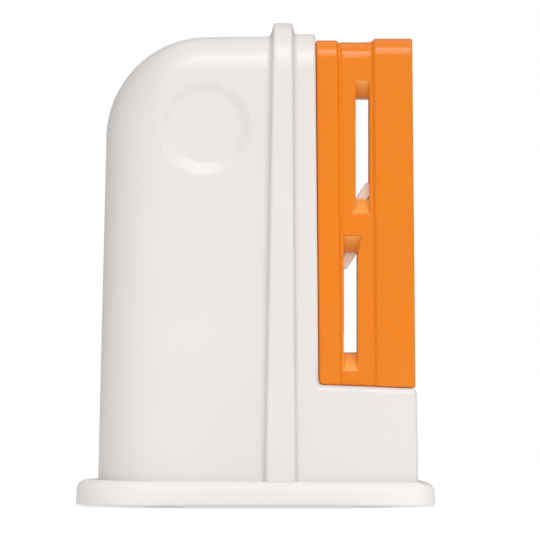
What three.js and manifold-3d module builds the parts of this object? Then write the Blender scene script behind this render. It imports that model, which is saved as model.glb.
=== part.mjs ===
// Scissors sharpener: a hollow hand grip on a flanged base, with a sharpening cartridge that lifts out of a
// notch at its right. Two slots in the cartridge take the two blades, and a ceramic stone slants across each.
// Millimetres, +Z up, front towards -Y, origin at the middle of the underside.
import * as THREE from "three";
import { mergeVertices } from "three/addons/utils/BufferGeometryUtils.js";
import Module from "manifold-3d";

const wasm = await Module();
wasm.setup();

const rad = THREE.MathUtils.degToRad;

// Grip
const gripLength = 91.9; // along X at the base
const gripDepth = 45.6; // along Y at the base
const gripHeight = 127.1; // from its lower edge to the crown
const wall = 2.4;
const leftDraft = Math.tan(rad(1.39));
const faceDraft = Math.tan(rad(1.0));
const rightDraft = Math.tan(rad(0.9));
const endRound = 20; // how far the round of the left end reaches along X
const endPower = 2.3; // 2 is an ellipse, more is squarer
const crownRadius = 28; // upper left corner, seen from the front
const crownFillet = 9.8; // between the crown and the two faces
const crownTilt = Math.tan(rad(0.7)); // the crown rises to the right
const gripCorner = 1.5; // upright edges at the right end

// Guard rib
const ribPlace = 52.9; // from the grip's left end
const ribTopWidth = 5.2;
const ribFootWidth = 8.3;
const ribFlare = 0.9; // each side, from crest to root
const ribHeight = 3.55;

// Finger recess, on both faces
const recessPlace = 31.0; // from the grip's left end
const recessRise = 100.5; // above the grip's lower edge
const recessRadius = 13.8;
const recessFloor = 9.6;
const recessDepth = 1.4;

// Notch and its groove
const notchWidth = 28.5; // from the grip's right end, at the shelf
const notchLean = Math.tan(rad(0.52));
const shelfRise = 27.0; // above the grip's lower edge, at the notch wall
const shelfSlope = Math.tan(rad(2.1));
const notchRound = 1.1;
const tongueNeck = 3.8;
const tongueHead = 7.4;
const tongueHeadReach = 4.4; // from the notch wall at the crown to the back of the head
const tongueHeadThick = 2.0;
const channelWall = 2.2;
const slideGap = 0.3;

// Base
const overhangLeft = 6.4;
const overhangRight = 4.9;
const overhangFace = 5.7;
const baseThickness = 7.6;
const baseFillet = 3.0;
const baseDraft = 0.3; // the lower edge stands out by this
const baseRound = 26;
const baseCorner = 7;
const baseWall = 3.2;
const baseRoof = 2.8;
const rimHeight = 4.0;
const rimThick = 2.0;

// Feet and base screws
const footGap = 0.3; // how far the feet stand out
const footRadius = 6.2;
const footPocket = 2.0;
const screwInsetLeft = 19; // from the grip's left end
const screwInsetRight = 12.5; // from the grip's right end
const screwSpread = 24; // front to back
const postRadius = 4.0;
const postHeight = 22;
const baseScrewLength = 16;

// Screws, all of one size
const shankRadius = 1.35;
const pilotRadius = 1.5;
const passRadius = 1.75;
const headRadius = 2.8;
const headHeight = 2.0;
const headGap = 0.35;

// Cartridge
const cartridgeWidth = 27.4;
const panelLeft = 6.1;
const panelMiddle = 10.1;
const dropLeft = 1.5; // how far each panel lies below the grip's faces and crown
const dropMiddle = 2.0;
const dropRight = 1.0;
const cartridgeFillet = 5.0;
const cartridgeWall = 2.0;
const halfGap = 0.15; // between the two halves
const cartridgeScrewInset = 6.2; // from the cartridge's right side
const cartridgeScrewLength = 16;
const cartridgeScrewHead = 8.2; // head's underside, behind mid depth
const closingPost = 4.0;

// Slots and stones, about the point they turn around
const slotPlace = 11.8; // right of the notch wall at the crown
const slotRise = 45.5; // above the shelf at the notch wall
const slotWidth = 4.2;
const slotLap = 0.34; // how far each slot passes the shared upright plane
const slotHeight = 29.1;
const slotBridge = 15.6; // between the two throats
const slotFlare = 6.4; // each end, from the throat to the face
const slotFlareSide = 1.1;
const slotWall = 1.8;
const stoneWidth = 25.0; // along Y
const stoneAngle = rad(56.3);
const stoneSpan = 9.0; // between the two working faces
const stoneReach = 12.15; // from the middle to each stone's tip
const stoneLength = 13.0;
const stoneThick = 3.0;
const stoneEdge = 0.45;
const stoneGap = 0.15;

const seatGap = 0.2; // between faces that rest on each other
const fitGap = 0.3; // between a piece and the pocket it lies in

// Derived places
const baseLength = overhangLeft + gripLength + overhangRight;
const baseTop = footGap + baseThickness;
const gripFoot = baseTop + seatGap;
const crownZ = gripFoot + gripHeight;
const gripLeft = overhangLeft - baseLength / 2;
const gripRight = gripLeft + gripLength;
const ribX = gripLeft + ribPlace;
const shelfX = gripRight - notchWidth;
const shelfZ = gripFoot + shelfRise;
const wallX = (z) => shelfX - (z - shelfZ) * notchLean;
const shelfAt = (x) => shelfZ - (x - shelfX) * shelfSlope;
const notchTopX = wallX(crownZ);
const faceAt = (z) => gripDepth / 2 - (z - gripFoot) * faceDraft;
const slotX = notchTopX + slotPlace;
const slotZ = shelfZ + slotRise;
const far = gripDepth; // past every face

function toSolid(geometry) {
  const bare = new THREE.BufferGeometry();
  bare.setAttribute("position", geometry.getAttribute("position").clone());
  bare.setIndex(geometry.getIndex());
  const merged = mergeVertices(bare, 1e-4);
  const mesh = new wasm.Mesh({
    numProp: 3,
    vertProperties: new Float32Array(merged.attributes.position.array),
    triVerts: new Uint32Array(merged.index.array),
  });
  const solid = new wasm.Manifold(mesh);
  if (solid.volume() <= 0) throw new Error("a solid is empty or inside out");
  return solid;
}

function toGeometry(solid) {
  const mesh = solid.getMesh();
  const geometry = new THREE.BufferGeometry();
  const position = new THREE.BufferAttribute(new Float32Array(mesh.vertProperties), 3);
  geometry.setAttribute("position", position);
  geometry.setIndex(new THREE.BufferAttribute(new Uint32Array(mesh.triVerts), 1));
  const flat = geometry.toNonIndexed();
  flat.computeVertexNormals();
  return flat;
}

const joinAll = (solids) => solids.reduce((sum, next) => sum.add(next));

// Local axes (x, y, z) laid along the part's (Y, Z, X) or (Z, X, Y), which keeps them right-handed.
const lieAlongX = new THREE.Matrix4().set(0, 0, 1, 0, 1, 0, 0, 0, 0, 1, 0, 0, 0, 0, 0, 1);
const lieAlongY = new THREE.Matrix4().set(0, 1, 0, 0, 0, 0, 1, 0, 1, 0, 0, 0, 0, 0, 0, 1);
const halfTurn = new THREE.Matrix4()
  .makeTranslation(slotX, 0, slotZ)
  .multiply(new THREE.Matrix4().makeRotationY(Math.PI))
  .multiply(new THREE.Matrix4().makeTranslation(-slotX, 0, -slotZ));

// A closed skin over convex rings of equal length, each anticlockwise seen from the last one's side.
function loft(rings) {
  const count = rings[0].length;
  const geometry = new THREE.BufferGeometry().setFromPoints(rings.flat());
  const index = [];
  for (let k = 0; k + 1 < rings.length; k++) {
    for (let i = 0; i < count; i++) {
      const a = k * count + i;
      const b = k * count + ((i + 1) % count);
      index.push(a, b, b + count, a, b + count, a + count);
    }
  }
  const last = (rings.length - 1) * count;
  for (let i = 1; i + 1 < count; i++) {
    index.push(0, i + 1, i, last, last + i, last + i + 1);
  }
  geometry.setIndex(index);
  return geometry;
}

function box(low, high) {
  const size = high.map((h, i) => h - low[i]);
  const geometry = new THREE.BoxGeometry(...size);
  geometry.translate(...low.map((l, i) => l + size[i] / 2));
  return toSolid(geometry);
}

function turned(profile, segments) {
  const points = profile.map(([r, z]) => new THREE.Vector2(r, z));
  return new THREE.LatheGeometry(points, segments).rotateX(Math.PI / 2);
}

function cylinder(radius, low, high, segments = 16) {
  return turned([[0, low], [radius, low], [radius, high], [0, high]], segments);
}

const upright = (x, y, radius, low, high, segments) =>
  toSolid(cylinder(radius, low, high, segments).translate(x, y, 0));

const crosswise = (x, z, radius, low, high, segments) =>
  toSolid(cylinder(radius, low, high, segments).rotateX(-Math.PI / 2).translate(x, 0, z));

function prism(points, low, high, lie) {
  const shape = new THREE.Shape(points.map(([x, y]) => new THREE.Vector2(x, y)));
  const geometry = new THREE.ExtrudeGeometry(shape, { depth: high - low, bevelEnabled: false });
  return geometry.translate(0, 0, low).applyMatrix4(lie);
}

// Plan outline: a squarish round at the left, small corners at the right, anticlockwise from above.
function plan(left, right, half, round, power, corner, z, steps = 18) {
  const ring = [];
  for (let i = 0; i <= 3; i++) {
    const t = -Math.PI / 2 + (i / 3) * (Math.PI / 2);
    ring.push([right - corner + corner * Math.cos(t), -half + corner + corner * Math.sin(t)]);
  }
  for (let i = 0; i <= 3; i++) {
    const t = (i / 3) * (Math.PI / 2);
    ring.push([right - corner + corner * Math.cos(t), half - corner + corner * Math.sin(t)]);
  }
  for (let i = 0; i <= steps; i++) {
    const t = Math.PI / 2 + (i / steps) * Math.PI;
    const x = Math.abs(Math.cos(t)) ** (2 / power);
    const y = Math.sign(Math.sin(t)) * Math.abs(Math.sin(t)) ** (2 / power);
    ring.push([left + round - round * x, half * y]);
  }
  return ring.map(([x, y]) => new THREE.Vector3(x, y, z));
}

// How far a quarter round of this radius has fallen back at height z below its top.
function fallBack(z, top, radius) {
  const up = Math.min(z - (top - radius), radius);
  return up <= 0 ? 0 : radius - Math.sqrt(radius * radius - up * up);
}

const arcLevels = (top, radius, steps) =>
  Array.from({ length: steps + 1 }, (_, i) => {
    return top - radius + radius * Math.sin(((i / steps) * Math.PI) / 2);
  });

function levelsFrom(...lists) {
  const sorted = lists.flat().sort((a, b) => a - b);
  return sorted.filter((z, i) => i === 0 || z - sorted[i - 1] > 0.04);
}

// The grip without its rib, drawn in by inset on every side but the lower one.
function gripBody(inset, low) {
  const top = crownZ - inset;
  const corner = crownRadius - inset;
  const fillet = crownFillet - inset;
  const rings = levelsFrom([low], arcLevels(top, corner, 8), arcLevels(top, fillet, 5)).map((z) => {
    const rise = z - gripFoot;
    const ring = plan(
      gripLeft + inset + rise * leftDraft + fallBack(z, top, corner),
      gripRight - inset - rise * rightDraft,
      faceAt(z) - inset - fallBack(z, top, fillet),
      endRound - inset / 2,
      endPower,
      gripCorner,
      z,
    );
    ring.forEach((p) => (p.z += (crownTilt * (p.x - ribX) * rise) / gripHeight));
    return ring;
  });
  return toSolid(loft(rings));
}

// The rib: a slab across the grip whose outline lies ribHeight outside the grip's.
function guardRib() {
  const top = crownZ + ribHeight;
  const round = crownFillet + ribHeight;
  const levels = levelsFrom([gripFoot], arcLevels(crownZ, crownFillet, 4), arcLevels(top, round, 6));
  const rings = levels.map((z) => {
    const share = (z - gripFoot) / (top - gripFoot);
    const crest = (ribFootWidth + (ribTopWidth - ribFootWidth) * share) / 2;
    const root = crest + ribFlare * Math.min(1, (top - z) / ribHeight);
    const outer = faceAt(z) + ribHeight - fallBack(z, top, round);
    const inner = faceAt(z) - fallBack(Math.min(z, crownZ), crownZ, crownFillet) - wall / 2;
    const ring = [
      [-crest, -outer],
      [crest, -outer],
      [root, -inner],
      [root, inner],
      [crest, outer],
      [-crest, outer],
      [-root, inner],
      [-root, -inner],
    ];
    return ring.map(([x, y]) => new THREE.Vector3(ribX + x, y, z));
  });
  return toSolid(loft(rings));
}

// All that lies right of the notch wall and above the shelf, grown by margin towards the grip.
function notchSpace(margin) {
  const right = gripRight + far;
  const top = crownZ + far;
  const corner = [wallX(shelfZ) - margin, shelfAt(shelfX) - margin];
  const r = notchRound + margin / 2;
  const points = [[wallX(top) - margin, top]];
  for (let i = 0; i <= 3; i++) {
    const t = Math.PI + (i / 3) * (Math.PI / 2);
    points.push([corner[0] + r + r * Math.cos(t), corner[1] + r + r * Math.sin(t)]);
  }
  points.push([right, shelfAt(right) - margin], [right, top]);
  return toSolid(prism(points.map(([x, z]) => [z, x]), -far, far, lieAlongY));
}

function recessCutter(side) {
  const ease = [0, 0.12, 0.5, 0.88, 1];
  const profile = [[0, -recessDepth]];
  ease.forEach((e, i) => {
    const r = recessFloor + (recessRadius - recessFloor) * (i / (ease.length - 1));
    profile.push([r, -recessDepth * (1 - e)]);
  });
  profile.push([recessRadius + 0.4, 3], [0, 3]);
  const z = gripFoot + recessRise;
  const geometry = turned(profile, 32)
    .rotateX((Math.PI / 2) * (side < 0 ? 1 : -1))
    .rotateX(side * -Math.atan(faceDraft))
    .translate(gripLeft + recessPlace, side * faceAt(z), z);
  return toSolid(geometry);
}

// The T that guides the cartridge, grown by gap.
function tongue(gap, low, high, right) {
  const back = notchTopX - tongueHeadReach;
  const neck = tongueNeck / 2 + gap;
  const head = tongueHead / 2 + gap;
  const headBox = [[back - gap, -head, low], [back + tongueHeadThick + gap, head, high]];
  const neckBox = [[back, -neck, low], [right, neck, high]];
  return box(...headBox).add(box(...neckBox));
}

const screwPlaces = [
  [gripLeft + screwInsetLeft, -screwSpread / 2],
  [gripRight - screwInsetRight, -screwSpread / 2],
  [gripRight - screwInsetRight, screwSpread / 2],
  [gripLeft + screwInsetLeft, screwSpread / 2],
];
const tongueFoot = shelfZ + 3;
const tongueTop = crownZ - dropMiddle;

function housingShell() {
  const outer = gripBody(0, gripFoot).add(guardRib()).subtract(notchSpace(0));
  const hollow = gripBody(wall, gripFoot - 1).subtract(notchSpace(wall));
  const channelBack = notchTopX - tongueHeadReach - slideGap - channelWall;
  const channelSide = tongueHead / 2 + slideGap + channelWall;
  const channel = box(
    [channelBack, -channelSide, shelfZ - wall],
    [shelfX, channelSide, crownZ + 5],
  ).intersect(gripBody(0, gripFoot).subtract(notchSpace(0)));
  const posts = screwPlaces.map(([x, y]) => {
    if (x > shelfX) return upright(x, y, postRadius, gripFoot, shelfAt(x) - wall / 2);
    const top = gripFoot + postHeight;
    const edge = Math.sign(y) * (faceAt(top) - wall / 2);
    const web = box(
      [x - 1, Math.min(y, edge), gripFoot + rimHeight + 1],
      [x + 1, Math.max(y, edge), top],
    );
    return upright(x, y, postRadius, gripFoot, top).add(web);
  });
  const pilots = screwPlaces.map(([x, y]) =>
    upright(x, y, pilotRadius, gripFoot - 1, gripFoot + baseScrewLength - baseRoof + 3, 12),
  );
  const groove = tongue(slideGap, tongueFoot - fitGap, crownZ + far, shelfX + far);
  return joinAll([outer.subtract(hollow), channel, ...posts])
    .subtract(joinAll(pilots))
    .subtract(groove)
    .subtract(recessCutter(-1))
    .subtract(recessCutter(1));
}

// The base's plan, drawn in by inset.
function basePlan(inset, z) {
  const half = gripDepth / 2 + overhangFace - inset;
  const edge = baseLength / 2 - inset;
  return plan(-edge, edge, half, baseRound - inset, endPower, Math.max(baseCorner - inset, 0.5), z);
}

function basePlate() {
  const rings = [basePlan(0, footGap)];
  for (let i = 0; i <= 4; i++) {
    const t = ((i / 4) * Math.PI) / 2;
    const inset = baseDraft + baseFillet * (1 - Math.cos(t));
    rings.push(basePlan(inset, baseTop - baseFillet + baseFillet * Math.sin(t)));
  }
  const hollow = toSolid(loft([basePlan(baseWall, footGap - 1), basePlan(baseWall, baseTop - baseRoof)]));
  const bosses = screwPlaces.map(([x, y]) =>
    upright(x, y, footRadius + fitGap + 2, footGap - 2, baseTop - baseRoof + 1, 24),
  );
  const rimAt = (inset, z) =>
    plan(
      gripLeft + inset,
      gripRight - inset,
      gripDepth / 2 - inset,
      endRound - inset / 2,
      endPower,
      gripCorner,
      z,
    );
  const rim = (inset, low, high) => toSolid(loft([rimAt(inset, low), rimAt(inset, high)]));
  const rimOut = wall + fitGap;
  const ring = rim(rimOut, baseTop - 1, baseTop + rimHeight).subtract(
    rim(rimOut + rimThick, baseTop - 2, baseTop + rimHeight + 1),
  );
  const drilled = screwPlaces.flatMap(([x, y]) => [
    upright(x, y, footRadius + fitGap, footGap - 1, footGap + footPocket, 24),
    upright(x, y, headRadius + headGap, footGap, baseTop - baseRoof, 16),
    upright(x, y, passRadius, footGap, baseTop + 1, 12),
  ]);
  return toSolid(loft(rings))
    .subtract(hollow.subtract(joinAll(bosses)))
    .add(ring)
    .subtract(joinAll(drilled));
}

function foot([x, y]) {
  const edge = 0.6;
  const top = footGap + footPocket - seatGap;
  const profile = [[0, 0], [footRadius - edge, 0], [footRadius, edge], [footRadius, top], [0, top]];
  return toSolid(turned(profile, 24).translate(x, y, 0));
}

// A pan head screw along +Z, head's underside at 0, with a cross recess.
function screw(length) {
  const tip = shankRadius * 0.4;
  const profile = [
    [0, -headHeight],
    [headRadius * 0.72, -headHeight],
    [headRadius, -headHeight * 0.55],
    [headRadius, 0],
    [shankRadius, 0],
    [shankRadius, length - 2.5],
    [tip, length],
    [0, length],
  ];
  const arm = headRadius * 0.5;
  const thick = headRadius * 0.14;
  const deep = headHeight * 0.55;
  const crossA = box([-arm, -thick, -headHeight - 1], [arm, thick, deep - headHeight]);
  const crossB = box([-thick, -arm, -headHeight - 1], [thick, arm, deep - headHeight]);
  return toGeometry(toSolid(turned(profile, 14)).subtract(crossA.add(crossB)));
}

// The cartridge's outside across one panel: face draft, crown fillet, and the notch's lean.
function panel(left, right, drop, low) {
  const top = crownZ - drop;
  const side = levelsFrom([low], arcLevels(top, cartridgeFillet, 6)).map((z) => {
    return [faceAt(z) - drop - fallBack(z, top, cartridgeFillet), z];
  });
  const points = [...side, ...side.map(([y, z]) => [-y, z]).reverse()];
  const geometry = prism(points, left, right, lieAlongX);
  const position = geometry.getAttribute("position");
  for (let i = 0; i < position.count; i++) {
    position.setX(i, position.getX(i) + (crownZ - position.getZ(i)) * notchLean);
  }
  return toSolid(geometry);
}

// One slot, straight through its throat and flared to each face, grown by margin.
function slotSpace(margin) {
  const reach = faceAt(slotZ) - stoneWidth / 2;
  const ring = (y, flare) => {
    const low = slotZ + slotBridge / 2 - flare - margin;
    const high = slotZ + slotBridge / 2 + slotHeight + flare + margin;
    const left = slotX - slotLap - margin;
    const right = slotX - slotLap + slotWidth + margin;
    const corners = [[low, left], [high, left], [high, right], [low, right]];
    return corners.map(([z, x]) => new THREE.Vector3(z, x, y));
  };
  const out = stoneWidth / 2 + reach * 1.4;
  const rings = [
    ring(-out, slotFlare * 1.4),
    ring(-stoneWidth / 2, 0),
    ring(stoneWidth / 2, 0),
    ring(out, slotFlare * 1.4),
  ];
  return loft(rings).applyMatrix4(lieAlongY);
}

// The lead-in below each slot's throat, which widens to one side away from the throat.
function slotLead(side) {
  const reach = faceAt(slotZ) - stoneWidth / 2;
  const base = slotZ + slotBridge / 2;
  const ring = (y, drop, out) => {
    const left = slotX - slotLap - out;
    const right = slotX - slotLap + slotWidth / 2;
    const edge = slotX - slotLap - 0.05;
    const corners = [[base - drop, left], [base + 0.05, edge], [base + 0.05, right], [base - drop, right]];
    return corners.map(([z, x]) => new THREE.Vector3(z, x, y * side));
  };
  const near = ring(stoneWidth / 2 + 0.3, 0.05, 0.05);
  const away = ring(stoneWidth / 2 + reach * 1.4, slotFlare * 1.4, slotFlareSide * 1.4);
  return loft(side > 0 ? [near, away] : [away, near]).applyMatrix4(lieAlongY);
}

// The upper stone's outline in (Z, X), grown by gap.
function stoneOutline(gap) {
  const along = [Math.cos(stoneAngle), Math.sin(stoneAngle)];
  const face = [-along[1], along[0]];
  const at = (s, n) => [
    slotZ + along[1] * s + face[1] * n,
    slotX + along[0] * s + face[0] * n,
  ];
  const tip = stoneReach + gap;
  const tail = stoneReach - stoneLength - gap;
  const front = stoneSpan / 2 + gap;
  const back = stoneSpan / 2 - stoneThick - gap;
  return [at(tail, back), at(tip, back), at(tip, front), at(tail, front)];
}

function stone() {
  const shape = new THREE.Shape(stoneOutline(-stoneEdge).map(([x, y]) => new THREE.Vector2(x, y)));
  const geometry = new THREE.ExtrudeGeometry(shape, {
    depth: stoneWidth - 2 * stoneEdge,
    bevelEnabled: true,
    bevelThickness: stoneEdge,
    bevelSize: stoneEdge,
    bevelSegments: 2,
  });
  return geometry.translate(0, 0, stoneEdge - stoneWidth / 2).applyMatrix4(lieAlongY);
}

const cartridgeLeft = notchTopX + slideGap;
const cartridgeRight = cartridgeLeft + cartridgeWidth;
const screwColumn = cartridgeRight - cartridgeScrewInset;
const closingPlaces = [
  [screwColumn, crownZ - dropMiddle - cartridgeFillet - closingPost],
  [screwColumn, slotZ],
  [screwColumn, shelfZ + closingPost * 2],
  [(cartridgeLeft + slotX - slotLap - slotWall) / 2, slotZ + slotBridge / 2 + slotHeight * 0.65],
];

function cartridgeHalves() {
  const low = shelfAt(gripRight) - 4;
  const middleEnd = cartridgeLeft + panelLeft + panelMiddle;
  const skin = joinAll([
    panel(cartridgeLeft, cartridgeLeft + panelLeft, dropLeft, low),
    panel(cartridgeLeft + 1, cartridgeRight - 1, dropMiddle, low),
    panel(middleEnd, cartridgeRight, dropRight, low),
  ]);
  const cut = notchSpace(-seatGap);
  const outer = skin.intersect(cut);
  const core = panel(
    cartridgeLeft + cartridgeWall,
    cartridgeRight - cartridgeWall,
    dropMiddle + cartridgeWall,
    low,
  ).intersect(notchSpace(-seatGap - cartridgeWall));
  const tunnels = toSolid(slotSpace(slotWall)).add(toSolid(slotSpace(slotWall).applyMatrix4(halfTurn)));
  const bridge = box(
    [slotX - slotBridge * 0.58, -far, slotZ - slotBridge * 0.8],
    [slotX + slotBridge * 0.58, far, slotZ + slotBridge * 0.8],
  );
  const posts = closingPlaces.map(([x, z]) => crosswise(x, z, closingPost, -far, far));
  const inside = joinAll([tunnels, bridge, ...posts]).intersect(outer);
  const guide = tongue(0, tongueFoot, tongueTop, slotX - slotBridge * 0.6).subtract(core);
  const slots = [slotSpace(0), slotLead(-1), slotLead(1)].flatMap((g) => {
    return [toSolid(g), toSolid(g.clone().applyMatrix4(halfTurn))];
  });
  const seat = prism(stoneOutline(stoneGap), -stoneWidth / 2 - stoneGap, stoneWidth / 2 + stoneGap, lieAlongY);
  const seats = [toSolid(seat), toSolid(seat.clone().applyMatrix4(halfTurn))];
  const holes = closingPlaces.flatMap(([x, z]) => [
    crosswise(x, z, headRadius + headGap, cartridgeScrewHead - seatGap, far),
    crosswise(x, z, passRadius, 0, far, 12),
    crosswise(x, z, pilotRadius, cartridgeScrewHead - cartridgeScrewLength - 1.5, 1, 12),
  ]);
  const whole = joinAll([outer.subtract(core), inside, guide])
    .subtract(joinAll(slots))
    .subtract(joinAll(seats))
    .subtract(joinAll(holes));
  const front = whole.subtract(box([-far * 2, -halfGap / 2, -9], [far * 2, far * 2, crownZ + 9]));
  const rear = whole.subtract(box([-far * 2, -far * 2, -9], [far * 2, halfGap / 2, crownZ + 9]));
  return [front, rear];
}

const plastic = (color) => new THREE.MeshStandardMaterial({ color, roughness: 0.38, metalness: 0 });
const white = plastic(0xebe7e4);
const orange = plastic(0xf5842a);
const ceramic = new THREE.MeshStandardMaterial({ color: 0xe9e3dd, roughness: 0.75, metalness: 0 });
const steel = new THREE.MeshStandardMaterial({ color: 0xb9bcc0, roughness: 0.35, metalness: 1 });
const rubber = new THREE.MeshStandardMaterial({ color: 0xcecdca, roughness: 0.9, metalness: 0 });

const sharpener = new THREE.Group();
sharpener.name = "scissors_sharpener";

function place(name, geometry, material) {
  const mesh = new THREE.Mesh(geometry, material);
  mesh.name = name;
  sharpener.add(mesh);
}

place("housing_shell", toGeometry(housingShell()), white);
place("base_plate", toGeometry(basePlate()), white);

const baseScrew = screw(baseScrewLength);
const baseScrewZ = baseTop - baseRoof - seatGap;
screwPlaces.forEach(([x, y], i) => {
  place(`base_screw_${i + 1}`, baseScrew.clone().translate(x, y, baseScrewZ), steel);
  place(`foot_${i + 1}`, toGeometry(foot([x, y])), rubber);
});

const [cartridgeFront, cartridgeRear] = cartridgeHalves();
place("cartridge_front", toGeometry(cartridgeFront), orange);
place("cartridge_rear", toGeometry(cartridgeRear), orange);
place("stone_upper", toGeometry(toSolid(stone())), ceramic);
place("stone_lower", toGeometry(toSolid(stone().applyMatrix4(halfTurn))), ceramic);

const closingScrew = screw(cartridgeScrewLength).rotateX(Math.PI / 2);
closingPlaces.forEach(([x, z], i) => {
  const geometry = closingScrew.clone().translate(x, cartridgeScrewHead, z);
  place(`cartridge_screw_${i + 1}`, geometry, steel);
});

export default sharpener;
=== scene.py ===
"""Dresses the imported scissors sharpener: grip, base, cartridge, stones, fasteners and a small studio.

Each moulded piece is a field: a number at each point, negative inside the piece and zero on its skin.
Fields are joined with true rounds, so every moulded edge has its own radius.
"""

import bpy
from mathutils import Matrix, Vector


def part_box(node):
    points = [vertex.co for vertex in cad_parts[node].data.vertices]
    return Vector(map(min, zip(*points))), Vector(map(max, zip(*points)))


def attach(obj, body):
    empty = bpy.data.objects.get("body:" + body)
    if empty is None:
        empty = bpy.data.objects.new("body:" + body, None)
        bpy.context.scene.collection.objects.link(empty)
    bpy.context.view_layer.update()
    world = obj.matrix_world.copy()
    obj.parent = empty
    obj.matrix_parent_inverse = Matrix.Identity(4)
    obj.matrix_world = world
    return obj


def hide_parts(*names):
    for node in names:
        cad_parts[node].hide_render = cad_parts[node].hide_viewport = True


bl_info = {
    "name": "Scissors Sharpener",
    "version": (1, 0, 0),
    "blender": (4, 5, 0),
    "location": "3D View > Sidebar > Sharpener",
    "description": "Builds the moulded pieces, finishes and studio of a scissors sharpener",
    "category": "Object",
}

import math

import bpy
import numpy as np
import openvdb
from bpy.props import FloatProperty, FloatVectorProperty, PointerProperty
from mathutils import Vector

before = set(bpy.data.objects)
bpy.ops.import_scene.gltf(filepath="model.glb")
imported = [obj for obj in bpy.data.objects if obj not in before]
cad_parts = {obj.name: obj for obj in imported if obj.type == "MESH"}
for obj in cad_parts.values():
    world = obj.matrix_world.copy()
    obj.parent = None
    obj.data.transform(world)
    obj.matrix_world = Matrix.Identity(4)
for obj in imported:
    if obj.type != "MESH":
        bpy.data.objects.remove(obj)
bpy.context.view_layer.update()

SHELL_LOW, SHELL_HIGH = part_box("housing_shell")
BASE_LOW, BASE_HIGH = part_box("base_plate")
HALF_LOW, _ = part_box("cartridge_front")
FEET = [f"foot_{i}" for i in range(1, 5)]
BASE_SCREWS = [f"base_screw_{i}" for i in range(1, 5)]
CLOSING_SCREWS = [f"cartridge_screw_{i}" for i in range(1, 5)]
RIB_HEIGHT = 0.00355

# Rounds that several edges share, in metres
HAIR_ROUND = 0.0001
FINE_ROUND = 0.0002
CRISP_ROUND = 0.0003
SOFT_ROUND = 0.0006

# Spacing of the points that each skin is drawn from, in metres
BODY_STEP = 0.0006
CARTRIDGE_STEP = 0.0004
STONE_STEP = 0.0002

# How points settle on a surface: rounds, and shares of the spacing
SETTLE_ROUNDS = 4
PROBE_SHARE = 0.02
MOVE_SHARE = 0.6

# Range of a noise that colours and roughness are spread over
NOISE_LOW = 0.3
NOISE_HIGH = 0.7

# Where the painted light starts inside a slot, a paler colour standing in for light that reaches the slot
# ends, and how far it laps over the sides
PAINTED_LIGHT_DEPTH = 0.0003
PAINTED_LIGHT_LAP = 0.0002

# Half width of the floor in metres, and its greys
FLOOR_REACH = 0.6
FLOOR_GREY = (0.25, 0.25, 0.25)
FLOOR_SPECKS = ((0.248, 0.248, 0.248), (0.252, 0.252, 0.252))

# The painted shadow around the base, where the floor glows less: where it starts and ends, in half lengths
# of the base, and its squeeze
SHADE_START = 1.1
SHADE_END = 2.2
SHADE_SQUEEZE = 1.7

# Sensor of the camera in millimetres, and the point that the lamps face
SENSOR_WIDTH = 36.0
LAMP_AIM = (0.0, 0.0, 0.06)


def span(name, description, value):
    return FloatProperty(name=name, description=description, default=value, unit="LENGTH", precision=5)


def turn(name, description, degrees):
    angle = math.radians(degrees)
    return FloatProperty(name=name, description=description, default=angle, unit="ROTATION")


def share(name, description, value):
    return FloatProperty(name=name, description=description, default=value, subtype="FACTOR", min=0, max=1)


def wattage(name, description, watts):
    return FloatProperty(name=name, description=description, default=watts, unit="POWER")


def paint(name, description, value):
    return FloatVectorProperty(
        name=name, description=description, default=value, subtype="COLOR", size=3, min=0, max=1
    )


class GripSizes(bpy.types.PropertyGroup):
    """Sizes of the white hand grip."""

    left: span("Left end", "Left end of the grip at its foot", SHELL_LOW.x)
    right: span("Right end", "Right end of the grip at its foot", SHELL_HIGH.x)
    foot: span("Foot", "Height of the grip's lower edge, inside the base", BASE_LOW.z + 0.0065)
    crown: span("Crown", "Height of the crown beside the rib", SHELL_HIGH.z - RIB_HEIGHT)
    half_depth: span("Half depth", "Half the grip's depth at its foot", SHELL_HIGH.y - RIB_HEIGHT)
    left_draft: turn("Left draft", "Lean of the left end", 1.39)
    face_draft: turn("Face draft", "Lean of the front and back", 1.0)
    right_draft: turn("Right draft", "Lean of the right end", 0.9)
    crown_radius: span("Crown radius", "Upper left corner, seen from the front", 0.028)
    crown_fillet: span("Crown fillet", "Round between the crown and the two faces", 0.0098)
    crown_tilt: turn("Crown tilt", "Rise of the crown to the right", 0.7)
    band_step: span("Band step", "How far the crown is higher right of the rib", 0.0005)
    band_ease: span("Band ease", "How far that step is spread across the rib", 0.004)
    end_round: span("End round", "Reach of the left end's round along the grip", 0.020)
    end_power: FloatProperty(name="End power", description="2 is an ellipse, more is squarer", default=2.3)
    turn_power: FloatProperty(
        name="Turn power",
        description="How late along the corner the crown's fillet grows into the end round",
        default=1.6,
    )
    right_edge: span("Right edge", "Round along the right end's edges", 0.0014)
    rib_place: span("Rib place", "Middle of the guard rib at the crown", SHELL_LOW.x + 0.0532)
    rib_drift: span("Rib drift", "How far left of that the rib's middle is at the base", 0.0007)
    rib_height: span("Rib height", "How far the rib stands out", RIB_HEIGHT)
    rib_top: span("Rib top width", "Width of the rib's crest at the crown", 0.0052)
    rib_foot: span("Rib foot width", "Width of the rib's crest at the base", 0.0083)
    rib_flare: span("Rib flare", "How far each side spreads from crest to root", 0.0008)
    rib_edge: span("Rib edge", "Round along the rib's crest", 0.0006)
    rib_root: span("Rib root", "Hollow round where the rib meets the grip", 0.0010)
    recess_place: span("Recess place", "Middle of the finger recess", SHELL_LOW.x + 0.031)
    recess_rise: span("Recess height", "Height of the finger recess", SHELL_LOW.z + 0.1005)
    recess_radius: span("Recess radius", "Outer radius of the finger recess", 0.0138)
    recess_floor: span("Recess floor", "Radius of the recess's flat floor", 0.0096)
    recess_depth: span("Recess depth", "Depth of the finger recess", 0.00145)


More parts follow.
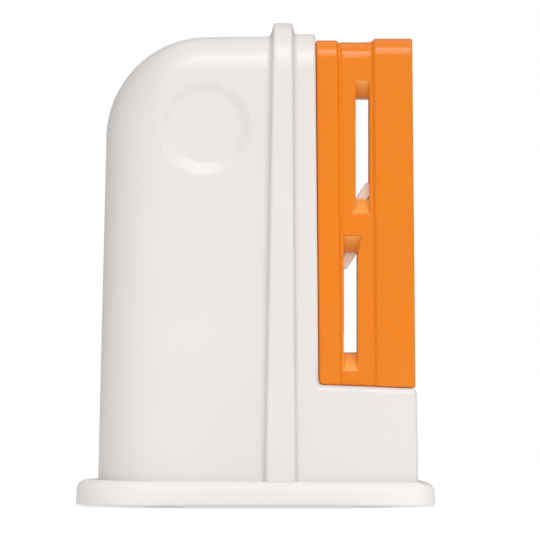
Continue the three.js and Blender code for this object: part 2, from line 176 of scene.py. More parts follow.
class NotchSizes(bpy.types.PropertyGroup):
    """Sizes of the notch and the groove that take the cartridge."""

    wall: span("Wall", "Place of the notch wall at the shelf", SHELL_HIGH.x - 0.0285)
    lean: turn("Lean", "Lean of the notch wall and the cartridge", 0.52)
    shelf: span("Shelf", "Height of the shelf at the notch wall", SHELL_LOW.z + 0.027)
    slope: turn("Slope", "Fall of the shelf to the right", 2.1)
    corner: span("Corner", "Round where wall and shelf meet", 0.0011)
    wall_lip: span("Wall lip", "Round along the notch wall's edges", 0.0008)
    shelf_lip: span("Shelf lip", "Round along the shelf's edges", 0.0018)
    lip_reach: span("Lip reach", "Height above the shelf where the wall lip takes over", 0.010)
    lip_ease: span("Lip ease", "How far the change of lip is spread", 0.008)
    neck: span("Tongue neck", "Width of the tongue's neck", 0.0038)
    head: span("Tongue head", "Width of the tongue's head", 0.0074)
    head_thick: span("Tongue head thickness", "Thickness of the tongue's head", 0.0020)
    gap: span("Slide gap", "Clearance around the tongue", 0.0003)
    tongue_foot: span("Tongue foot", "Height of the tongue's lower end", SHELL_LOW.z + 0.030)


class BaseSizes(bpy.types.PropertyGroup):
    """Sizes of the flanged base."""

    fillet: span("Fillet", "Round along the flange's upper edge", 0.0030)
    thickness: span("Thickness", "Thickness of the flange at its left end", 0.0074)
    taper: span("Taper", "How much thinner the flange is at its right end", 0.0004)
    draft: span("Draft", "How far the lower edge stands out", 0.0003)
    lift: span("Lift", "How far the lower edge is lifted", 0.0001)
    end_round: span("End round", "Reach of the left end's round", 0.026)
    end_power: FloatProperty(name="End power", description="2 is an ellipse, more is squarer", default=2.3)
    corner: span("Corner", "Plan radius at the right end", 0.007)
    right_fall: span("Right fall", "How far the flange falls away at its right end", 0.0016)
    right_fillet: span("Right fillet", "Round along the right end's upper edge", 0.0008)
    right_start: FloatProperty(
        name="Right start",
        description="How far inside the grip's end the fillet starts to change, in overhangs",
        default=0.7,
    )
    wall: span("Wall", "Wall around the hollow underside", 0.0032)
    roof: span("Roof", "Thickness above the hollow underside", 0.0028)
    pocket: span("Pocket", "Radius of the pockets that hold the feet", 0.0065)
    pocket_wall: span("Pocket wall", "Wall around each pocket", 0.002)
    pocket_depth: span("Pocket depth", "Depth of the pockets that hold the feet", 0.0020)


class CartridgeSizes(bpy.types.PropertyGroup):
    """Sizes of the orange cartridge and its slots."""

    width: span("Width", "Width of the cartridge", 0.02758)
    panel_left: span("Left panel", "Width of the left panel", 0.00628)
    panel_middle: span("Middle panel", "Width of the sunken middle panel", 0.0101)
    drop_left: span("Left drop", "How far the left panel lies below the grip", 0.0015)
    drop_middle: span("Middle drop", "How far the middle panel lies below the grip", 0.0019)
    drop_right: span("Right drop", "How far the right panel lies below the grip", 0.0010)
    dish: span("Dish", "How far the middle panel sinks from its sides to its middle", 0.00015)
    groove: span("Groove", "Depth of the groove beside the left panel", 0.0003)
    groove_place: span("Groove place", "How far right of the left panel the groove lies", 0.00036)
    groove_reach: span("Groove reach", "Half width of the groove", 0.0006)
    left_ease: span("Left ease", "Spread of the step beside the left panel", 0.0004)
    right_ease: span("Right ease", "Spread of the step beside the right panel", 0.0013)
    fillet: span("Fillet", "Round between the top and the two faces", 0.0050)
    edge: span("Edge", "Round along the upright edges", 0.0005)
    side_gap: span("Side gap", "Gap between the cartridge and the notch wall", 0.00012)
    seat_gap: span("Seat gap", "Gap between the cartridge and the shelf", 0.00008)
    half_gap: span("Half gap", "Gap between the two halves", 0.00015)
    slot_place: span("Slot place", "Upright plane that the two slots share", SHELL_HIGH.x - 0.01761)
    slot_rise: span("Slot height", "Height that the two slots turn around", SHELL_LOW.z + 0.0725)
    slot_width: span("Slot width", "Width of each slot", 0.0039)
    slot_lap: span("Slot lap", "How far each slot passes the shared plane", 0.00026)
    slot_length: span("Slot length", "Height of each slot's throat", 0.0285)
    slot_bridge: span("Slot bridge", "Between the two throats", 0.0160)
    slot_flare: span("Slot flare", "Spread of each end from throat to panel", 0.0050)
    slot_skew: span("Slot skew", "How much less the upper slot's floor spreads", 0.00045)
    slot_flare_side: span("Slot side flare", "Sideways spread of the lead-in", 0.0011)
    screw_head: span("Screw seat", "Depth of the closing screws' seats behind the middle", 0.0080)
    screw_hole: span("Screw hole", "Radius of the closing screws' holes", 0.00315)


class StoneSizes(bpy.types.PropertyGroup):
    """Sizes of the two ceramic stones."""

    width: span("Width", "Width of each stone, front to back", 0.0250)
    angle: turn("Angle", "Slant of the working faces", 56.3)
    faces: span("Faces", "Between the two working faces", 0.0090)
    reach: span("Reach", "From the middle to each stone's tip", 0.01215)
    length: span("Length", "Length of each stone", 0.0130)
    thick: span("Thickness", "Thickness of each stone", 0.0030)
    edge: span("Edge", "Round along the stones' edges", 0.00045)
    gap: span("Gap", "Clearance around each stone", 0.00015)


class Finishes(bpy.types.PropertyGroup):
    """Colours, gloss and grain of the finishes."""

    white: paint("White plastic", "Grip and base", (0.760, 0.729, 0.708))
    orange: paint("Orange plastic", "Cartridge", (0.825, 0.210, 0.003))
    # Painted light: a paler orange inside the slots stands in for the light that reaches the slot ends.
    painted_slot_light: paint("Lead-in", "Paler, frosted plastic inside the slots", (1.0, 0.47, 0.11))
    ceramic: paint("Ceramic", "Stones", (0.97, 1.0, 1.0))
    steel: paint("Steel", "Screws", (0.56, 0.56, 0.57))
    rubber: paint("Rubber", "Feet", (0.62, 0.61, 0.59))
    white_roughness: share("White roughness", "Satin of the white plastic", 0.38)
    orange_roughness: share("Orange roughness", "Gloss of the orange plastic", 0.28)
    white_grain: share("White grain", "Strength of the white plastic's grain", 0.16)
    orange_grain: share("Orange grain", "Strength of the orange plastic's grain", 0.05)
    white_shine: share("White shine", "How much the white plastic mirrors", 0.52)
    orange_shine: share("Orange shine", "How much the orange plastic mirrors", 0.42)


class StudioSettings(bpy.types.PropertyGroup):
    """Camera, lights and floor."""

    frame_width: span("Frame width", "What the picture spans at the grip's front", 0.1555)
    frame_middle: span("Frame middle", "Middle of the picture, across", 0.0043)
    frame_height: span("Frame height", "Middle of the picture, above the floor", 0.0679)
    distance: span("Camera distance", "From the camera to the middle of the object", 3.0)
    backdrop: paint("Backdrop", "Colour behind the object", (1.0, 1.0, 1.0))
    ambient: FloatProperty(name="Ambient", description="Light from all around", default=0.385, min=0)
    key: wattage("Key", "Wide light above and in front", 11.6)
    front: wattage("Front", "Light in front, above the camera", 5.4)
    overhead: wattage("Overhead", "Large soft light overhead", 2.8)
    # Painted shadow: the floor glows less beside the base than away from it.
    floor_near: share("Floor near", "Glow of the floor beside the base", 0.52)
    floor_far: share("Floor far", "Glow of the floor away from the base", 0.85)


class SharpenerSettings(bpy.types.PropertyGroup):
    """All that a user may change."""

    grip: PointerProperty(type=GripSizes)
    notch: PointerProperty(type=NotchSizes)
    base: PointerProperty(type=BaseSizes)
    cartridge: PointerProperty(type=CartridgeSizes)
    stone: PointerProperty(type=StoneSizes)
    finish: PointerProperty(type=Finishes)
    studio: PointerProperty(type=StudioSettings)


# Fields


def round_max(a, b, radius):
    """What lies in both, with the shared edge rounded."""
    inner = np.minimum(np.maximum(a, b), -radius)
    return inner + np.hypot(np.maximum(a + radius, 0), np.maximum(b + radius, 0))


def round_min(a, b, radius):
    """What lies in either, with the inner corner filled to a radius."""
    return -round_max(-a, -b, radius)


def ease(t):
    """A smooth step from 0 to 1."""
    t = np.clip(t, 0, 1)
    return t * t * (3 - 2 * t)


def face_at(grip, z):
    """Half depth of the grip at a height."""
    return grip.half_depth - (z - grip.foot) * math.tan(grip.face_draft)


def grip_field(grip, notch):
    """The grip: rounded body, guard rib, finger recesses, notch and groove."""
    left_lean = math.tan(grip.left_draft)
    right_lean = math.tan(grip.right_draft)
    wall_lean = math.tan(notch.lean)
    slope = math.tan(notch.slope)
    tilt = math.tan(grip.crown_tilt)
    groove_back = HALF_LOW.x - notch.gap

    def body(x, y, z):
        half = face_at(grip, z)
        step = grip.band_step * ease((x - grip.rib_place) / grip.band_ease + 0.5)
        above = z - (grip.crown + tilt * (x - grip.rib_place) - grip.band_step / 2 + step)
        beside = grip.left + (z - grip.foot) * left_lean - x
        up = np.maximum(above + grip.crown_radius, 0)
        across = np.maximum(beside + grip.crown_radius, 0)
        outside = np.minimum(np.maximum(above, beside), -grip.crown_radius) + np.hypot(up, across)
        turned = (across**2 / (up**2 + across**2 + 1e-12)) ** grip.turn_power
        reach = grip.crown_fillet + (grip.end_round - grip.crown_fillet) * turned
        depth = grip.crown_fillet + (half - grip.crown_fillet) * turned
        power = 2 + (grip.end_power - 2) * turned
        gone = np.hypot(x - grip.recess_place, z - grip.recess_rise) - grip.recess_floor
        dent = grip.recess_depth * (1 - ease(gone / (grip.recess_radius - grip.recess_floor)))
        in_from_edge = np.maximum(1 + outside / reach, 0)
        out_from_middle = np.maximum((np.abs(y) + dent - half + depth) / depth, 0)
        return ((in_from_edge**power + out_from_middle**power) ** (1 / power) - 1) * depth

    def rib(x, y, z):
        top = grip.crown + grip.rib_height
        outline = round_max(
            np.abs(y) - face_at(grip, z) - grip.rib_height,
            z - top,
            grip.crown_fillet + grip.rib_height,
        )
        up = (z - grip.foot) / (top - grip.foot)
        crest = (grip.rib_foot + (grip.rib_top - grip.rib_foot) * up) / 2
        middle = grip.rib_place - grip.rib_drift * (1 - up)
        inward = np.clip(-outline / grip.rib_height, 0, 1)
        side = np.abs(x - middle) - crest - grip.rib_flare * inward
        return round_max(side, outline, grip.rib_edge)

    def groove(x, y, z):
        head = np.maximum(np.abs(y) - notch.head / 2, x - HALF_LOW.x - notch.head_thick)
        neck = np.abs(y) - notch.neck / 2
        cross = np.maximum(np.minimum(head, neck) - notch.gap, groove_back - x)
        return np.maximum(cross, notch.tongue_foot - notch.gap - z)

    def field(x, y, z):
        right_end = x - grip.right + (z - grip.foot) * right_lean
        solid = round_max(body(x, y, z), right_end, grip.right_edge)
        solid = round_min(solid, rib(x, y, z), grip.rib_root)
        past_wall = x - notch.wall + (z - notch.shelf) * wall_lean
        past_shelf = z - notch.shelf + (x - notch.wall) * slope
        kept = round_min(past_wall, past_shelf, notch.corner)
        low = ease((notch.shelf + notch.lip_reach - z) / notch.lip_ease)
        solid = round_max(solid, kept, notch.wall_lip + (notch.shelf_lip - notch.wall_lip) * low)
        solid = round_max(solid, -groove(x, y, z), CRISP_ROUND)
        return np.maximum(solid, grip.foot - z)

    return field


def base_field(base):
    """The base: a flange with a rounded upper edge, hollow below, with pockets for the feet."""
    top = BASE_LOW.z + base.thickness
    half = BASE_HIGH.y
    feet = [(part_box(n)[0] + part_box(n)[1]) / 2 for n in FEET]

    def plan(x, y):
        in_from_end = np.maximum((BASE_LOW.x + base.end_round - x) / base.end_round, 0)
        out_from_middle = np.abs(y) / half
        power = base.end_power
        side = ((in_from_end**power + out_from_middle**power) ** (1 / power) - 1) * half
        return round_max(side, x - BASE_HIGH.x, base.corner)

    def field(x, y, z):
        edge = plan(x, y)
        drawn = edge + base.draft * np.clip((z - BASE_LOW.z) / base.thickness, 0, 1)
        along = (x - SHELL_HIGH.x) / (BASE_HIGH.x - SHELL_HIGH.x)
        fall = base.right_fall * np.maximum(along, 0)
        fall = fall + base.taper * (x - BASE_LOW.x) / (BASE_HIGH.x - BASE_LOW.x)
        fillet = base.fillet + (base.right_fillet - base.fillet) * ease(along + base.right_start)
        solid = round_max(drawn, z - top + fall, fillet)
        solid = round_max(solid, BASE_LOW.z + base.lift - z, SOFT_ROUND)
        hollow = round_max(edge + base.wall, z - top + base.roof, SOFT_ROUND)
        for foot in feet:
            out = np.hypot(x - foot.x, y - foot.y)
            hollow = np.maximum(hollow, base.pocket + base.pocket_wall - out)
            pocket = np.maximum(out - base.pocket, z - BASE_LOW.z - base.pocket_depth)
            hollow = np.minimum(hollow, pocket)
        return round_max(solid, -hollow, CRISP_ROUND)

    return field


def stone_places(cartridge, stone, x, z, side):
    """Lengthwise and facing distances from the middle of the slots, for the upper or the lower stone."""
    across = (x - cartridge.slot_place) * side
    up = (z - cartridge.slot_rise) * side
    along = across * math.cos(stone.angle) + up * math.sin(stone.angle)
    facing = up * math.cos(stone.angle) - across * math.sin(stone.angle)
    return along, facing


def stone_field(cartridge, stone, side, grown=0.0):
    """One stone, upper for side 1 and lower for side -1, grown by a clearance."""

    def field(x, y, z):
        along, facing = stone_places(cartridge, stone, x, z, side)
        ends = np.abs(along - stone.reach + stone.length / 2) - stone.length / 2 - grown
        faces = np.abs(facing - stone.faces / 2 + stone.thick / 2) - stone.thick / 2 - grown
        sides = np.abs(y) - stone.width / 2 - grown
        edge = stone.edge if grown == 0 else HAIR_ROUND
        return round_max(round_max(ends, faces, edge), sides, edge)

    return field


def slot_places(cartridge, x, z, side):
    """Distances across and up from the inner corner of the upper or the lower slot."""
    across = (x - cartridge.slot_place) * side + cartridge.slot_lap
    up = (z - cartridge.slot_rise) * side - cartridge.slot_bridge / 2
    return across, up


def cartridge_field(grip, notch, cartridge, stone, rear):
    """Half of the cartridge: stepped panels, tongue, flared slots, and screw seats in the rear one."""
    lean = math.tan(notch.lean)
    slope = math.tan(notch.slope)
    left = notch.wall - (grip.crown - notch.shelf) * lean + cartridge.side_gap
    first = left + cartridge.panel_left
    second = first + cartridge.panel_middle
    throat = stone.width / 2
    screws = [(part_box(n)[0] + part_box(n)[1]) / 2 for n in CLOSING_SCREWS]
    seats = [stone_field(cartridge, stone, side, stone.gap) for side in (1, -1)]

    def outside(x, y, z):
        sheared = x - (grip.crown - z) * lean
        past_first = ease((sheared - first) / cartridge.left_ease + 0.5)
        past_second = ease((sheared - second) / cartridge.right_ease + 0.5)
        drop = cartridge.drop_left
        drop = drop + (cartridge.drop_middle - cartridge.drop_left) * past_first
        drop = drop + (cartridge.drop_right - cartridge.drop_middle) * past_second
        aside = (2 * sheared - first - second) / (second - first)
        drop = drop + cartridge.dish * np.maximum(1 - aside**2, 0)
        off_groove = (sheared - first - cartridge.groove_place) / cartridge.groove_reach
        drop = drop + cartridge.groove * np.exp(-(off_groove**2))
        face = np.abs(y) - face_at(grip, z) + drop
        hull = round_max(face, z - grip.crown + drop, cartridge.fillet)
        seat = notch.shelf - (x - notch.wall) * slope + cartridge.seat_gap - z
        ends = round_max(left - sheared, seat, notch.corner)
        hull = round_max(hull, ends, SOFT_ROUND)
        return round_max(hull, sheared - left - cartridge.width, cartridge.edge)

    def tongue(x, y, z):
        head = np.maximum(np.abs(y) - notch.head / 2, x - HALF_LOW.x - notch.head_thick)
        neck = np.maximum(np.abs(y) - notch.neck / 2, x - cartridge.slot_place)
        cross = np.maximum(np.minimum(head, neck), HALF_LOW.x - x)
        ends = np.maximum(notch.tongue_foot - z, z - grip.crown + cartridge.drop_middle)
        return round_max(cross, ends, CRISP_ROUND)

    def slot(x, y, z, side):
        across, up = slot_places(cartridge, x, z, side)
        run = face_at(grip, z) - cartridge.drop_middle - throat
        open_out = np.maximum((np.abs(y) - throat) / run, 0)
        flare = cartridge.slot_flare * open_out
        inward = flare - side * cartridge.slot_skew * open_out
        tall = np.maximum(-inward - up, up - cartridge.slot_length - flare)
        wide = np.abs(across - cartridge.slot_width / 2) - cartridge.slot_width / 2
        lean_out = cartridge.slot_flare_side * up / cartridge.slot_flare
        aside = np.maximum(lean_out - across, across - cartridge.slot_width)
        lead = np.maximum(np.maximum(-inward - up, up), aside)
        return np.minimum(round_max(wide, tall, CRISP_ROUND), lead)

    def field(x, y, z):
        solid = round_min(outside(x, y, z), tongue(x, y, z), FINE_ROUND)
        for side in (1, -1):
            solid = round_max(solid, -slot(x, y, z, side), CRISP_ROUND)
        for seat in seats:
            solid = np.maximum(solid, -seat(x, y, z))
        if rear:
            for screw in screws:
                hole = np.hypot(x - screw.x, z - screw.z) - cartridge.screw_hole
                solid = round_max(solid, -np.maximum(hole, cartridge.screw_head - y), CRISP_ROUND)
        parting = cartridge.half_gap / 2 - y if rear else y + cartridge.half_gap / 2
        return round_max(solid, parting, HAIR_ROUND)

    return field


def mark_painted_slot_light(piece, grip, cartridge):
    """Marks the insides of the slots, where a paler colour is painted in as light on the slot ends."""
    places = np.array([v.co for v in piece.data.vertices])
    x, y, z = places.T
    deep = face_at(grip, z) - cartridge.drop_middle - np.abs(y)
    spread = cartridge.slot_flare
    widest = cartridge.slot_width + PAINTED_LIGHT_LAP
    marked = np.zeros(len(places))
    for side in (1, -1):
        across, up = slot_places(cartridge, x, z, side)
        in_width = (across > -cartridge.slot_flare_side) & (across < widest)
        in_height = (up > -spread) & (up < cartridge.slot_length + spread)
        marked[(deep > PAINTED_LIGHT_DEPTH) & in_width & in_height] = 1.0
    layer = piece.data.attributes.new("painted_slot_light", "FLOAT", "POINT")
    layer.data.foreach_set("value", marked)


# Skins


def slopes(field, points, step):
    """A field's gradient at points, by differences."""
    x, y, z = points.T
    parts = []
    for shift in np.eye(3) * step:
        ahead = field(x + shift[0], y + shift[1], z + shift[2])
        behind = field(x - shift[0], y - shift[1], z - shift[2])
        parts.append((ahead - behind) / (2 * step))
    return np.stack(parts, axis=1)


def settle(field, points, step):
    """Points moved onto the field's zero surface, and the unit normals there."""
    for _ in range(SETTLE_ROUNDS):
        slope = slopes(field, points, step * PROBE_SHARE)
        size = np.maximum((slope**2).sum(axis=1), 1e-6)
        move = field(*points.T) / size
        length = np.abs(move) * np.sqrt(size)
        move *= np.minimum(1, MOVE_SHARE * step / np.maximum(length, 1e-12))
        points = points - slope * move[:, None]
    slope = slopes(field, points, step * PROBE_SHARE)
    return points, slope / np.maximum(np.linalg.norm(slope, axis=1), 1e-9)[:, None]


def skin(name, field, low, high, step):
    """A closed mesh over the field's zero surface inside a box."""
    margin = 3 * step
    axes = [np.arange(a - margin, b + margin + step, step) for a, b in zip(low, high)]
    x, y, z = np.meshgrid(*axes, indexing="ij", sparse=True)
    values = np.broadcast_to(field(x, y, z), [len(a) for a in axes])
    grid = openvdb.FloatGrid(1.0)
    grid.copyFromArray(np.ascontiguousarray(values / step, dtype=np.float32))
    points, quads = grid.convertToQuads(0.0)
    if not len(quads):
        raise RuntimeError(f"{name} has no surface")
    start = np.array([a[0] for a in axes])
    points, normals = settle(field, points.astype(float) * step + start, step)
    mesh = bpy.data.meshes.new(name)
    mesh.from_pydata(points.tolist(), [], quads.tolist())
    mesh.validate()
    mesh.normals_split_custom_set_from_vertices(normals.tolist())
    made = bpy.data.objects.new(name, mesh)
    bpy.context.collection.objects.link(made)
    return made


# Finishes


def start_material(name, colour, roughness):
    """A new material, its shader and its texture coordinates."""
    material = bpy.data.materials.new(name)
    material.use_nodes = True
    nodes = material.node_tree.nodes
    nodes.clear()
    output = nodes.new("ShaderNodeOutputMaterial")
    shader = nodes.new("ShaderNodeBsdfPrincipled")
    shader.inputs["Base Color"].default_value = (*colour, 1)
    shader.inputs["Roughness"].default_value = roughness
    place = nodes.new("ShaderNodeTexCoord")
    material.node_tree.links.new(shader.outputs["BSDF"], output.inputs["Surface"])
    return material, shader, place


def add_noise(material, place, scale, detail):
    noise = material.node_tree.nodes.new("ShaderNodeTexNoise")
    noise.inputs["Scale"].default_value = scale
    noise.inputs["Detail"].default_value = detail
    material.node_tree.links.new(place.outputs["Object"], noise.inputs["Vector"])
    return noise


def vary_colour(material, shader, noise, dark, light):
    ramp = material.node_tree.nodes.new("ShaderNodeValToRGB")
    ramp.color_ramp.elements[0].position = NOISE_LOW
    ramp.color_ramp.elements[0].color = (*dark, 1)
    ramp.color_ramp.elements[1].position = NOISE_HIGH
    ramp.color_ramp.elements[1].color = (*light, 1)
    material.node_tree.links.new(noise.outputs["Fac"], ramp.inputs["Fac"])
    material.node_tree.links.new(ramp.outputs["Color"], shader.inputs["Base Color"])


def vary_roughness(material, shader, noise, low, high):
    spread = material.node_tree.nodes.new("ShaderNodeMapRange")
    spread.inputs["From Min"].default_value = NOISE_LOW
    spread.inputs["From Max"].default_value = NOISE_HIGH
    spread.inputs["To Min"].default_value = low
    spread.inputs["To Max"].default_value = high
    material.node_tree.links.new(noise.outputs["Fac"], spread.inputs["Value"])
    material.node_tree.links.new(spread.outputs["Result"], shader.inputs["Roughness"])


def add_bump(material, shader, noise, strength, distance):
    bump = material.node_tree.nodes.new("ShaderNodeBump")
    bump.inputs["Strength"].default_value = strength
    bump.inputs["Distance"].default_value = distance
    material.node_tree.links.new(noise.outputs["Fac"], bump.inputs["Height"])
    material.node_tree.links.new(bump.outputs["Normal"], shader.inputs["Normal"])


def tinted(colour, by):
    """A colour made lighter or darker by a factor."""
    return [min(1.0, c * by) for c in colour]


def moulded_plastic(name, colour, roughness, grain, specular):
    """Injection-moulded plastic: even colour with a faint drift, and a fine spark-eroded grain."""
    material, shader, place = start_material(name, colour, roughness)
    shader.inputs["Specular IOR Level"].default_value = specular
    drift = add_noise(material, place, scale=38, detail=3)
    fine = add_noise(material, place, scale=2600, detail=2)
    vary_colour(material, shader, drift, tinted(colour, 0.985), tinted(colour, 1.015))
    vary_roughness(material, shader, fine, roughness - 0.05, roughness + 0.06)
    add_bump(material, shader, fine, strength=grain, distance=0.00004)
    return material


def paint_slot_light(material, pale):
    """Mixes a paler colour in where the mesh is marked inside the slots: painted light on the slot ends.
    """
    nodes = material.node_tree.nodes
    links = material.node_tree.links
    into = nodes["Principled BSDF"].inputs["Base Color"]
    mark = nodes.new("ShaderNodeAttribute")
    mark.attribute_name = "painted_slot_light"
    mix = nodes.new("ShaderNodeMix")
    mix.data_type = "RGBA"
    mix.inputs["B"].default_value = (*pale, 1)
    links.new(mark.outputs["Fac"], mix.inputs["Factor"])
    links.new(into.links[0].from_socket, mix.inputs["A"])
    links.new(mix.outputs["Result"], into)


def unglazed_ceramic(name, colour):
    """Fine abrasive ceramic: matte, speckled and slightly gritty."""
    material, shader, place = start_material(name, colour, roughness=0.8)
    grit = add_noise(material, place, scale=3800, detail=4)
    vary_colour(material, shader, grit, tinted(colour, 0.88), tinted(colour, 1.06))
    vary_roughness(material, shader, grit, low=0.72, high=0.9)
    add_bump(material, shader, grit, strength=0.35, distance=0.00006)
    return material


def plated_steel(name, colour):
    """Zinc-plated steel with fine turning marks."""
    material, shader, place = start_material(name, colour, roughness=0.3)
    shader.inputs["Metallic"].default_value = 1.0
    marks = add_noise(material, place, scale=1400, detail=5)
    vary_colour(material, shader, marks, tinted(colour, 0.86), tinted(colour, 1.1))
    vary_roughness(material, shader, marks, low=0.24, high=0.42)
    add_bump(material, shader, marks, strength=0.2, distance=0.00003)
    return material


def soft_rubber(name, colour):
    """Matte pale rubber with a pressed grain."""
    material, shader, place = start_material(name, colour, roughness=0.85)
    grain = add_noise(material, place, scale=1900, detail=3)
    vary_colour(material, shader, grain, tinted(colour, 0.93), tinted(colour, 1.05))
    vary_roughness(material, shader, grain, low=0.78, high=0.92)
    add_bump(material, shader, grain, strength=0.4, distance=0.00008)
    return material


def dress(piece, material, body, slot, *nodes):
    """Gives a new piece its finish and its body, and hides the CAD nodes that it stands for."""
    piece.data.materials.append(material)
    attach(piece, body)
    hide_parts(*nodes)


def finish_nodes(names, material):
    """Gives carried-over CAD nodes their finish."""
    for name in names:
        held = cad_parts[name]
        held.data.materials.clear()
        held.data.materials.append(material)


# Operators


class SHARPENER_OT_grip(bpy.types.Operator):
    """Build the white hand grip with its rib, recesses and notch"""

    bl_idname = "sharpener.grip"
    bl_label = "Grip"

    def execute(self, context):
        settings = context.scene.sharpener
        field = grip_field(settings.grip, settings.notch)
        low = Vector((SHELL_LOW.x, SHELL_LOW.y, settings.grip.foot))
        piece = skin("grip", field, low, SHELL_HIGH, BODY_STEP)
        finish = settings.finish
        white = moulded_plastic(
            "white_plastic",
            finish.white,
            finish.white_roughness,
            finish.white_grain,
            finish.white_shine,
        )
        dress(piece, white, "housing", "white_plastic", "housing_shell")
        return {"FINISHED"}


class SHARPENER_OT_base(bpy.types.Operator):
    """Build the flanged base"""

    bl_idname = "sharpener.base"
    bl_label = "Base"

    def execute(self, context):
        settings = context.scene.sharpener
        top = Vector((BASE_HIGH.x, BASE_HIGH.y, BASE_LOW.z + settings.base.thickness))
        piece = skin("base", base_field(settings.base), BASE_LOW, top, BODY_STEP)
        dress(piece, bpy.data.materials["white_plastic"], "housing", "white_plastic", "base_plate")
        return {"FINISHED"}


class SHARPENER_OT_cartridge(bpy.types.Operator):
    """Build the two halves of the orange cartridge"""

    bl_idname = "sharpener.cartridge"
    bl_label = "Cartridge"

    def execute(self, context):
        settings = context.scene.sharpener
        finish = settings.finish
        orange = moulded_plastic(
            "orange_plastic",
            finish.orange,
            finish.orange_roughness,
            finish.orange_grain,
            finish.orange_shine,
        )
        # Painted light: the slot insides get a paler orange in place of the light that reaches them.
        paint_slot_light(orange, finish.painted_slot_light)
        sizes = (settings.grip, settings.notch, settings.cartridge, settings.stone)
        for node, rear in (("cartridge_front", False), ("cartridge_rear", True)):
            field = cartridge_field(*sizes, rear)
            piece = skin(node + "_skin", field, *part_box(node), CARTRIDGE_STEP)
            mark_painted_slot_light(piece, settings.grip, settings.cartridge)
            dress(piece, orange, "cartridge", "orange_plastic", node)
        return {"FINISHED"}


class SHARPENER_OT_stones(bpy.types.Operator):
    """Build the two ceramic stones"""

    bl_idname = "sharpener.stones"
    bl_label = "Stones"

    def execute(self, context):
        settings = context.scene.sharpener
        ceramic = unglazed_ceramic("ceramic_stone", settings.finish.ceramic)
        for node, side in (("stone_upper", 1), ("stone_lower", -1)):
            field = stone_field(settings.cartridge, settings.stone, side)
            piece = skin(node + "_skin", field, *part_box(node), STONE_STEP)
            dress(piece, ceramic, "cartridge", "ceramic_stone", node)
        return {"FINISHED"}


class SHARPENER_OT_fasteners(bpy.types.Operator):
    """Finish the screws and the rubber feet"""

    bl_idname = "sharpener.fasteners"
    bl_label = "Screws and feet"

    def execute(self, context):
        finish = context.scene.sharpener.finish
        finish_nodes(BASE_SCREWS + CLOSING_SCREWS, plated_steel("screw_steel", finish.steel))
        finish_nodes(FEET, soft_rubber("foot_rubber", finish.rubber))
        return {"FINISHED"}


def add_lamp(name, energy, size, place):
    """A soft rectangular lamp that faces the object."""
    data = bpy.data.lights.new(name, "AREA")
    data.energy = energy
    data.shape = "RECTANGLE"
    data.size, data.size_y = size
    lamp = bpy.data.objects.new(name, data)
    lamp.location = place
    lamp.rotation_euler = (Vector(LAMP_AIM) - Vector(place)).to_track_quat("-Z", "Y").to_euler()
    lamp.visible_camera = False
    bpy.context.collection.objects.link(lamp)


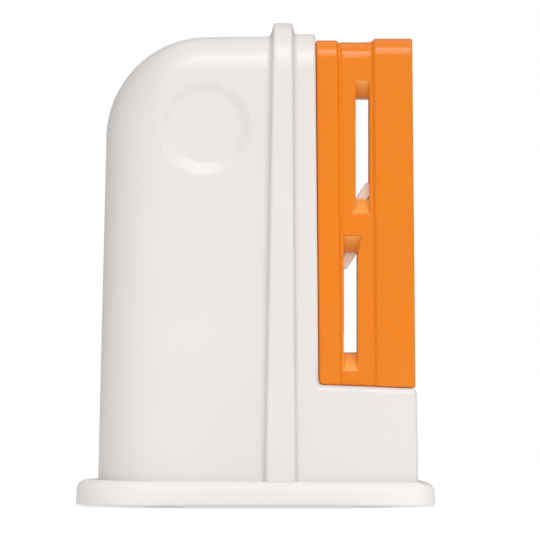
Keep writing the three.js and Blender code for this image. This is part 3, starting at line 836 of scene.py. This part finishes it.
class SHARPENER_OT_studio(bpy.types.Operator):
    """Build the floor, the lights, the backdrop and the camera"""

    bl_idname = "sharpener.studio"
    bl_label = "Studio"

    def execute(self, context):
        studio = context.scene.sharpener.studio
        scene = context.scene
        self.lay_floor(studio)
        self.light_world(scene, studio)
        add_lamp("key_light", studio.key, size=(1.10, 0.45), place=(0.12, -1.06, 1.25))
        add_lamp("front_light", studio.front, size=(0.5, 0.5), place=(0.26, -1.78, 0.90))
        add_lamp("overhead_light", studio.overhead, size=(1.4, 1.0), place=(-0.10, 0.25, 1.40))
        self.place_camera(scene, studio)
        return {"FINISHED"}

    def lay_floor(self, studio):
        mesh = bpy.data.meshes.new("floor")
        far = FLOOR_REACH
        corners = [(-far, -far, 0), (far, -far, 0), (far, far, 0), (-far, far, 0)]
        mesh.from_pydata(corners, [], [(0, 1, 2, 3)])
        floor = bpy.data.objects.new("floor", mesh)
        bpy.context.collection.objects.link(floor)
        material, shader, place = start_material("pale_floor", FLOOR_GREY, roughness=0.8)
        shader.inputs["Emission Color"].default_value = (1, 1, 1, 1)
        self.paint_shade_under(material, shader, place, studio.floor_near, studio.floor_far)
        speck = add_noise(material, place, scale=60, detail=2)
        vary_colour(material, shader, speck, *FLOOR_SPECKS)
        mesh.materials.append(material)

    def paint_shade_under(self, material, shader, place, near, far):
        """Paints a shadow on the floor beside the base by dimming its glow."""
        nodes = material.node_tree.nodes
        links = material.node_tree.links
        stretch = nodes.new("ShaderNodeVectorMath")
        stretch.operation = "MULTIPLY"
        stretch.inputs[1].default_value = (SHADE_SQUEEZE, BASE_HIGH.x / BASE_HIGH.y, 1.0)
        away = nodes.new("ShaderNodeVectorMath")
        away.operation = "LENGTH"
        spread = nodes.new("ShaderNodeMapRange")
        spread.interpolation_type = "SMOOTHSTEP"
        spread.inputs["From Min"].default_value = SHADE_START * BASE_HIGH.x
        spread.inputs["From Max"].default_value = SHADE_END * BASE_HIGH.x
        spread.inputs["To Min"].default_value = near
        spread.inputs["To Max"].default_value = far
        links.new(place.outputs["Object"], stretch.inputs[0])
        links.new(stretch.outputs["Vector"], away.inputs[0])
        links.new(away.outputs["Value"], spread.inputs["Value"])
        links.new(spread.outputs["Result"], shader.inputs["Emission Strength"])

    def light_world(self, scene, studio):
        world = bpy.data.worlds.new("studio")
        world.use_nodes = True
        nodes = world.node_tree.nodes
        links = world.node_tree.links
        nodes.clear()
        output = nodes.new("ShaderNodeOutputWorld")
        seen = nodes.new("ShaderNodeBackground")
        seen.inputs["Color"].default_value = (*studio.backdrop, 1)
        seen.inputs["Strength"].default_value = 1.0
        cast = nodes.new("ShaderNodeBackground")
        cast.inputs["Color"].default_value = (1, 1, 1, 1)
        cast.inputs["Strength"].default_value = studio.ambient
        path = nodes.new("ShaderNodeLightPath")
        mix = nodes.new("ShaderNodeMixShader")
        links.new(path.outputs["Is Camera Ray"], mix.inputs["Fac"])
        links.new(cast.outputs["Background"], mix.inputs[1])
        links.new(seen.outputs["Background"], mix.inputs[2])
        links.new(mix.outputs["Shader"], output.inputs["Surface"])
        scene.world = world

    def place_camera(self, scene, studio):
        data = bpy.data.cameras.new("camera")
        data.sensor_width = SENSOR_WIDTH
        data.lens = SENSOR_WIDTH * studio.distance / studio.frame_width
        data.clip_end = 20.0
        camera = bpy.data.objects.new("camera", data)
        camera.location = (studio.frame_middle, -studio.distance, studio.frame_height)
        camera.rotation_euler = (math.pi / 2, 0, 0)
        bpy.context.collection.objects.link(camera)
        scene.camera = camera
        scene.view_settings.view_transform = "Standard"


class SHARPENER_PT_panel(bpy.types.Panel):
    """Sidebar list of the pieces"""

    bl_idname = "SHARPENER_PT_panel"
    bl_label = "Sharpener"
    bl_space_type = "VIEW_3D"
    bl_region_type = "UI"
    bl_category = "Sharpener"

    def draw(self, context):
        for operator in OPERATORS:
            self.layout.operator(operator.bl_idname)


OPERATORS = (
    SHARPENER_OT_grip,
    SHARPENER_OT_base,
    SHARPENER_OT_cartridge,
    SHARPENER_OT_stones,
    SHARPENER_OT_fasteners,
    SHARPENER_OT_studio,
)
GROUPS = (
    GripSizes,
    NotchSizes,
    BaseSizes,
    CartridgeSizes,
    StoneSizes,
    Finishes,
    StudioSettings,
    SharpenerSettings,
)
CLASSES = (*GROUPS, *OPERATORS, SHARPENER_PT_panel)


def register():
    for made in CLASSES:
        bpy.utils.register_class(made)
    bpy.types.Scene.sharpener = PointerProperty(type=SharpenerSettings)


def unregister():
    del bpy.types.Scene.sharpener
    for made in reversed(CLASSES):
        bpy.utils.unregister_class(made)


def main():
    register()
    bpy.ops.sharpener.grip()
    bpy.ops.sharpener.base()
    bpy.ops.sharpener.cartridge()
    bpy.ops.sharpener.stones()
    bpy.ops.sharpener.fasteners()
    bpy.ops.sharpener.studio()


if __name__ == "__main__":
    main()
